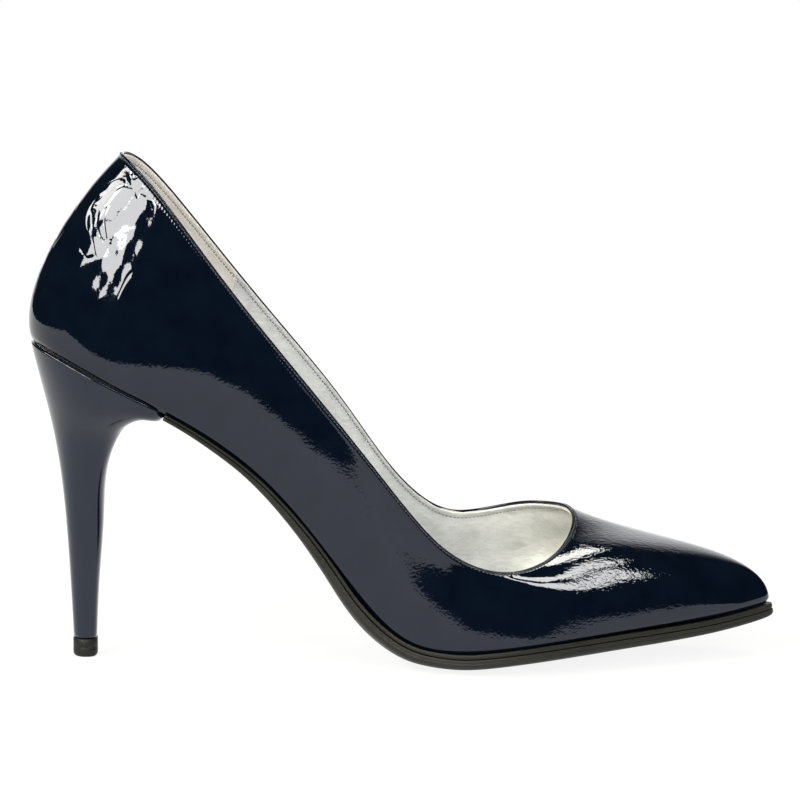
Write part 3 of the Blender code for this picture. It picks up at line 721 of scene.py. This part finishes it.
def bump(tree, layers):
    """Bumps one on the other: (height, millimetres from its lowest to its highest)."""
    normal = None
    for height, tall in layers:
        sockets = {"Height": height, "Distance": tall / 1000, "Strength": 1.0}
        if normal is not None:
            sockets["Normal"] = normal
        normal = add(tree, "ShaderNodeBump", sockets).outputs["Normal"]
    return normal


def patent(name, dark, light, gloss, peel, wave, crease=0.0):
    """Leather with a hard glossy film: orange peel, slow waves and a clear reflection. With
    `crease`, it also has creases over the counter and pebbling on the vamp."""
    made, tree, shader = new_material(name)
    here = place(tree)
    tone = ramp(tree, noise(tree, here, 9, 3), [(0.35, dark), (0.65, light)])
    tree.links.new(tone, shader.inputs["Base Color"])
    fine = noise(tree, here, 0.9, 1.5, 0.4)
    middle = noise(tree, here, 3.6, 1.0, 0.4, 0.6)
    slow = noise(tree, here, 13, 1.0, 0.3)
    tree.links.new(spread(tree, fine, gloss, gloss * 1.5), shader.inputs["Roughness"])
    shader.inputs["IOR"].default_value = 1.55
    shader.inputs["Specular Tint"].default_value = (0.82, 0.86, 1.0, 1)
    layers = [(slow, wave), (middle, wave * 0.12), (fine, peel)]
    if crease:
        layers += [(creases(tree), crease), (crumple(tree), crease), (flexing(tree), crease * 2)]
    tree.links.new(bump(tree, layers), shader.inputs["Normal"])
    return made


def on_counter(tree, value):
    """A height that shows only on the back of the shoe, above the heel."""
    split = add(tree, "ShaderNodeSeparateXYZ", {"Vector": place(tree)})
    back = spread(tree, split.outputs["X"], 1, 0, -0.085, -0.07)
    high = spread(tree, split.outputs["Z"], 0, 1, 0.112, 0.128)
    return product(tree, value, back, high)


def creases(tree):
    """Thin winding creases: the middle line of a distorted noise."""
    field = noise(tree, place(tree, (1, 1, 0.5)), 17, 2, 0.45, 1.2)
    off = add(tree, "ShaderNodeMath", {0: field, 1: 0.5}, operation="SUBTRACT").outputs[0]
    side = add(tree, "ShaderNodeMath", {0: off}, operation="ABSOLUTE").outputs[0]
    return on_counter(tree, spread(tree, side, 0, 1, 0.0, 0.035))


def crumple(tree):
    """Soft dents between the creases."""
    return on_counter(tree, noise(tree, place(tree, (1, 1, 0.6)), 5, 2, 0.5, 0.5))


def flexing(tree):
    """Fine pebbling of the vamp behind the toes, where the film is stretched in lasting."""
    split = add(tree, "ShaderNodeSeparateXYZ", {"Vector": place(tree)})
    behind = spread(tree, split.outputs["X"], 0, 1, 0.045, 0.058)
    before = spread(tree, split.outputs["X"], 1, 0, 0.088, 0.1)
    return product(tree, noise(tree, place(tree, (0.5, 1, 1)), 1.1, 2, 0.6), behind, before)


def silver(name, dark, light, metal, rough, grain):
    """Metallic leather with a fine crinkled grain that runs along the shoe."""
    made, tree, shader = new_material(name)
    slant = (0, 0.6, 0)
    crinkle = noise(tree, place(tree, (0.45, 1, 1), slant), 0.55, 3, 0.6, 0.8)
    streak = noise(tree, place(tree, (0.22, 1, 1), slant), 0.9, 3, 0.65, 0.4)
    cloud = noise(tree, place(tree), 7, 3)
    mixed = add(tree, "ShaderNodeMix", {"Factor": 0.45, "A": streak, "B": cloud}).outputs["Result"]
    tone = ramp(tree, mixed, [(0.36, dark), (0.64, light)])
    tree.links.new(tone, shader.inputs["Base Color"])
    shader.inputs["Metallic"].default_value = metal
    tree.links.new(spread(tree, crinkle, rough, rough + 0.15), shader.inputs["Roughness"])
    normal = bump(tree, [(cloud, 0.12), (streak, grain), (crinkle, grain * 0.6)])
    tree.links.new(normal, shader.inputs["Normal"])
    return made


def thread(name, dark, light):
    """Twisted sewing thread."""
    made, tree, shader = new_material(name)
    here = place(tree)
    ply = add(tree, "ShaderNodeTexWave", {
        "Vector": here, "Scale": 900, "Distortion": 1.0, "Detail": 1.0,
    }, bands_direction="DIAGONAL").outputs["Fac"]
    tone = ramp(tree, ply, [(0.2, dark), (0.8, light)])
    tree.links.new(tone, shader.inputs["Base Color"])
    shader.inputs["Roughness"].default_value = 0.55
    shader.inputs["Sheen Weight"].default_value = 0.2
    tree.links.new(bump(tree, [(ply, 0.05)]), shader.inputs["Normal"])
    return made


def sole(name, dark, light, rough, layered):
    """Stained sole leather: fibres along the edge, and scuffs."""
    made, tree, shader = new_material(name)
    fibre = noise(tree, place(tree, (0.12, 0.35, 1.6)), 0.5, 4, 0.65)
    grain = noise(tree, place(tree), 0.7, 3, 0.6)
    patch = noise(tree, place(tree), 14, 3)
    mixed = add(tree, "ShaderNodeMix", {"Factor": 0.4, "A": fibre, "B": patch}).outputs["Result"]
    tone = ramp(tree, mixed, [(0.35, dark), (0.65, light)])
    tree.links.new(tone, shader.inputs["Base Color"])
    tree.links.new(spread(tree, patch, rough, rough + 0.16), shader.inputs["Roughness"])
    shader.inputs["Specular IOR Level"].default_value = 0.28
    normal = bump(tree, [(fibre, layered), (grain, 0.02)])
    tree.links.new(normal, shader.inputs["Normal"])
    return made


def mottled(
    name, dark, light, size, rough, metal=0.0, tall=0.03, stretch=(1, 1, 1), specular=0.5
):
    """A plain moulded, pressed or drawn material with a fine grain."""
    made, tree, shader = new_material(name)
    here = place(tree, stretch)
    grain = noise(tree, here, size, 4, 0.6)
    tone = ramp(tree, grain, [(0.3, dark), (0.7, light)])
    tree.links.new(tone, shader.inputs["Base Color"])
    shader.inputs["Metallic"].default_value = metal
    shader.inputs["Specular IOR Level"].default_value = specular
    tree.links.new(spread(tree, grain, rough, rough + 0.12), shader.inputs["Roughness"])
    tree.links.new(bump(tree, [(grain, tall)]), shader.inputs["Normal"])
    return made


def woven(name, dark, light, size):
    """A plain weave of threads `size` millimetres apart."""
    made, tree, shader = new_material(name)
    heights = []
    for direction in ("X", "Z"):
        heights.append(add(tree, "ShaderNodeTexWave", {
            "Vector": place(tree), "Scale": 1000 / size / 6.28, "Distortion": 0.6,
            "Detail": 1.0,
        }, bands_direction=direction, wave_profile="SIN").outputs["Fac"])
    over = product(tree, *heights)
    tone = ramp(tree, over, [(0.1, dark), (0.7, light)])
    tree.links.new(tone, shader.inputs["Base Color"])
    shader.inputs["Roughness"].default_value = 0.95
    tree.links.new(bump(tree, [(over, 0.12)]), shader.inputs["Normal"])
    return made


def cells(name, dark, light, size, rough, tall):
    """Cork crumbs or foam cells `size` millimetres across."""
    made, tree, shader = new_material(name)
    crumb = add(tree, "ShaderNodeTexVoronoi", {"Vector": place(tree), "Scale": 1000 / size})
    tone = ramp(tree, crumb.outputs["Distance"], [(0.1, light), (0.75, dark)])
    tree.links.new(tone, shader.inputs["Base Color"])
    shader.inputs["Roughness"].default_value = rough
    tree.links.new(bump(tree, [(crumb.outputs["Distance"], tall)]), shader.inputs["Normal"])
    return made


def make_looks():
    """The materials of the pieces that this script makes. Colours are dark, then light."""
    return {
        "patent_leather": patent(
            "patent", (0.0008, 0.0021, 0.0052), (0.0013, 0.0031, 0.0072), 0.03, 0.009, 0.06, 0.05),
        "heel_wrap": patent(
            "heel_patent", (0.0018, 0.0040, 0.0085), (0.0026, 0.0052, 0.0105), 0.09, 0.004, 0.02),
        # The sock's silver is the front lining's silver at two thirds of its brightness: painted
        # shade for the dimmer light on the insole.
        "shaded_sock_silver": silver(
            "shaded_sock_silver", (0.39, 0.395, 0.38), (0.52, 0.525, 0.505), 0.3, 0.4, 0.1),
        "front_silver": silver(
            "front_silver", (0.58, 0.59, 0.57), (0.78, 0.785, 0.76), 0.3, 0.4, 0.1),
        "heel_silver": silver(
            "heel_silver", (0.6, 0.565, 0.51), (0.72, 0.685, 0.63), 0.1, 0.6, 0.03),
        "navy_thread": thread("navy_thread", (0.006, 0.008, 0.012), (0.03, 0.034, 0.042)),
        "grey_thread": thread("grey_thread", (0.12, 0.12, 0.115), (0.28, 0.28, 0.27)),
        "sole_runner": sole(
            "rand_finish", (0.004, 0.004, 0.0035), (0.013, 0.013, 0.0105), 0.42, 0.05),
        "sole_leather": sole(
            "sole_finish", (0.005, 0.005, 0.0042), (0.016, 0.016, 0.013), 0.4, 0.06),
        "tip": mottled(
            "tip_polyurethane", (0.005, 0.0055, 0.005), (0.011, 0.0115, 0.011), 0.6, 0.42,
            tall=0.01, specular=0.22),
        "foam": cells("latex_foam", (0.62, 0.58, 0.48), (0.8, 0.77, 0.68), 0.6, 0.95, 0.12),
    }


def dress_frame():
    """Materials for the CAD pieces that stay as they are, hidden inside the shoe."""
    steel = mottled(
        "steel", (0.42, 0.43, 0.45), (0.62, 0.63, 0.65), 0.4, 0.26, 1.0, 0.008, (0.2, 1, 1))
    interlining = woven("interlining", (0.6, 0.58, 0.52), (0.86, 0.84, 0.78), 0.6)
    looks = {
        "topline_tape": woven("edge_tape", (0.55, 0.53, 0.48), (0.8, 0.78, 0.72), 0.5),
        "heel_counter": mottled(
            "counter_board", (0.36, 0.27, 0.18), (0.5, 0.39, 0.27), 0.8, 0.78),
        "interlining_outer": interlining,
        "interlining_inner": interlining,
        "toe_puff": woven("puff_sheet", (0.45, 0.39, 0.28), (0.66, 0.58, 0.44), 0.7),
        "forepart_filler": cells("cork", (0.28, 0.16, 0.08), (0.6, 0.4, 0.22), 1.6, 0.95, 0.2),
        "insole_board": mottled("fibre_board", (0.42, 0.3, 0.19), (0.6, 0.46, 0.32), 0.7, 0.85),
        "shank_board": mottled("shank_fibre", (0.24, 0.17, 0.12), (0.38, 0.28, 0.2), 0.8, 0.85),
        "steel_shank": mottled(
            "spring_steel", (0.38, 0.39, 0.42), (0.56, 0.57, 0.6), 0.5, 0.3, 1.0, 0.01,
            (0.1, 1, 1)),
        "heel_core": mottled(
            "heel_plastic", (0.56, 0.54, 0.49), (0.66, 0.64, 0.59), 1.2, 0.42, tall=0.01),
    }
    for name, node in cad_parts.items():
        node.data.materials.clear()
        node.data.materials.append(looks.get(name, steel))


# --- stage ----------------------------------------------------------------------------


def softbox(name, azimuth, elevation, far, size, power, aim=(0, 0, 0.08), seen=True):
    """A soft light in a direction from the shoe: 0 is the camera's side, 90 the toe's.
    One that isn't `seen` only fills: no gloss shows it."""
    a, e = math.radians(azimuth), math.radians(elevation)
    toward = np.array([math.sin(a) * math.cos(e), -math.cos(a) * math.cos(e), math.sin(e)])
    data = bpy.data.lights.new(name, "AREA")
    data.shape = "RECTANGLE"
    data.size, data.size_y = size
    data.energy = power
    data.color = (1.0, 0.965, 0.84) if seen else (0.95, 0.97, 1.0)
    lamp = bpy.data.objects.new(name, data)
    lamp.location = np.array(aim) + toward * far
    lamp.visible_glossy = seen
    turn = bpy.data.objects.new(name + "_aim", None)
    turn.location = aim
    bpy.context.scene.collection.objects.link(turn)
    bpy.context.scene.collection.objects.link(lamp)
    follow = lamp.constraints.new("TRACK_TO")
    follow.target = turn
    follow.track_axis = "TRACK_NEGATIVE_Z"
    follow.up_axis = "UP_Y"


def make_floor():
    """White paper that glows, a little less near the shoe. Its front edge shows in the gloss
    as the line between the pale reflections and the dark ones."""
    made, tree, shader = new_material("paper")
    tree.nodes.remove(shader)
    ground = add(tree, "ShaderNodeTexCoord").outputs["Object"]
    far = add(tree, "ShaderNodeVectorMath", {0: ground}, operation="LENGTH").outputs["Value"]
    strength = spread(tree, far, 0.88, 1.0, 0.3, 0.8)
    glow = add(tree, "ShaderNodeEmission", {"Color": (1, 1, 1, 1), "Strength": strength})
    paper = add(tree, "ShaderNodeBsdfDiffuse", {"Color": (0.1, 0.1, 0.1, 1)})
    both = add(tree, "ShaderNodeAddShader")
    tree.links.new(glow.outputs[0], both.inputs[0])
    tree.links.new(paper.outputs[0], both.inputs[1])
    tree.links.new(both.outputs[0], tree.nodes["Material Output"].inputs["Surface"])
    mesh = bpy.data.meshes.new("floor")
    left, right, front, back = -0.9, 0.9, -0.52, 1.6
    mesh.from_pydata(
        [(left, front, 0), (right, front, 0), (right, back, 0), (left, back, 0)], [], [(0, 1, 2, 3)]
    )
    mesh.materials.append(made)
    floor = bpy.data.objects.new("floor", mesh)
    bpy.context.scene.collection.objects.link(floor)


def make_world():
    """White to the eye, and to all else white low behind the shoe and dark elsewhere."""
    world = bpy.data.worlds.new("studio")
    bpy.context.scene.world = world
    world.use_nodes = True
    tree = world.node_tree
    around = add(tree, "ShaderNodeTexCoord").outputs["Generated"]
    split = add(tree, "ShaderNodeSeparateXYZ", {"Vector": around})
    aside = add(tree, "ShaderNodeMath", {0: split.outputs["X"]}, operation="ABSOLUTE").outputs[0]
    behind = spread(tree, split.outputs["Y"], 0.0, 1.0, 0.1, 0.5)
    narrow = spread(tree, aside, 1.0, 0.0, 0.3, 0.45)
    low = spread(tree, split.outputs["Z"], 1.0, 0.0, 0.5, 0.72)
    paper = product(tree, behind, narrow, low)
    room = ramp(tree, paper, [(0.0, (0.012, 0.014, 0.016)), (1.0, (1.8, 1.8, 1.8))])
    eye = add(tree, "ShaderNodeLightPath").outputs["Is Camera Ray"]
    mixed = add(tree, "ShaderNodeMix", {"Factor": eye}, data_type="RGBA")
    tree.links.new(room, mixed.inputs[6])  # A as a colour
    mixed.inputs[7].default_value = (1, 1, 1, 1)  # B as a colour
    background = tree.nodes["Background"]
    tree.links.new(mixed.outputs[2], background.inputs["Color"])
    background.inputs["Strength"].default_value = 1.0


def make_camera():
    """A long lens from a little above the outer side."""
    target = np.array([-0.00079, -0.00022, 0.083335])
    pitch, far, width = math.radians(9.8), 2.2, 0.2565  # the picture is this wide at the shoe
    data = bpy.data.cameras.new("camera")
    data.sensor_width = 36
    data.lens = 36 * far / width
    camera = bpy.data.objects.new("camera", data)
    camera.location = target + far * np.array([0, -math.cos(pitch), math.sin(pitch)])
    camera.rotation_euler = (math.pi / 2 - pitch, 0, 0)
    bpy.context.scene.collection.objects.link(camera)
    bpy.context.scene.camera = camera


def make_stage():
    """The studio: the first four boxes make the highlight on the counter, and the next
    three the one on the vamp."""
    make_camera()
    make_floor()
    make_world()
    counter = (-0.09, 0, 0.14)
    softbox("back_softbox", -86, 38, 1.3, (0.8, 0.22), 9.2, aim=counter)
    softbox("high_softbox", -50, 36, 1.3, (0.9, 0.26), 12.4, aim=counter)
    softbox("side_softbox", -31, 23.5, 1.3, (0.75, 0.3), 11.9, aim=counter)
    softbox("low_softbox", -17, 11.5, 1.3, (0.28, 0.3), 4.4, aim=counter)
    softbox("instep_softbox", 162, 65, 1.3, (0.2, 0.4), 4)
    softbox("ball_softbox", 84, 70.5, 1.3, (0.26, 0.27), 3.5)
    softbox("toe_softbox", 56, 53, 1.3, (0.2, 0.38), 3.8)
    softbox("fill", 25, 24, 1.4, (0.7, 0.5), 16, seen=False)
    bpy.context.scene.view_settings.view_transform = "Standard"


def make_stitching(look):
    """The rows of stitches: one round the topline, and one along each lining."""
    gap = 0.02  # ribs left free at the seam between the linings
    holes = ALL_ROUND[::STEPS_PER_STITCH]
    half = (ALL_ROUND[STEPS_PER_STITCH] - ALL_ROUND[0]) / 2
    stitches(
        "topline_stitches", holes + half, OUTER_ROW, -0.02, look["navy_thread"]
    )
    for name, start, end, slot in (
        ("front_lining_stitches", HEEL_LINING_TO, len(RIBS) - HEEL_LINING_TO, "silver_lining"),
        ("heel_lining_stitches", -HEEL_LINING_TO, HEEL_LINING_TO, "heel_grip"),
    ):
        holes = even_places(start + gap, end - gap, PITCH)
        middle = (holes[:-1] + holes[1:]) / 2
        stitches(name, middle, LINING_ROW, 1.86, look["grey_thread"], side=-1, thick=0.14)


def make_linings(look):
    """The heel grip, and the lining that runs round the front to both its ends."""
    gap = 0.001  # ribs
    make_lining(
        "front_lining_leather", HEEL_LINING_TO + gap, len(RIBS) - HEEL_LINING_TO - gap,
        look["front_silver"], ["front_lining"],
    )
    make_lining(
        "heel_lining_leather", -HEEL_LINING_TO + gap, HEEL_LINING_TO - gap,
        look["heel_silver"], ["heel_lining"],
    )


def main():
    look = make_looks()
    dress_frame()
    make_upper(look["patent_leather"])
    make_stitching(look)
    make_linings(look)
    make_bottom(look)
    make_sock(look["shaded_sock_silver"])
    make_pads(look["foam"])
    make_heel(look)
    make_stage()


main()
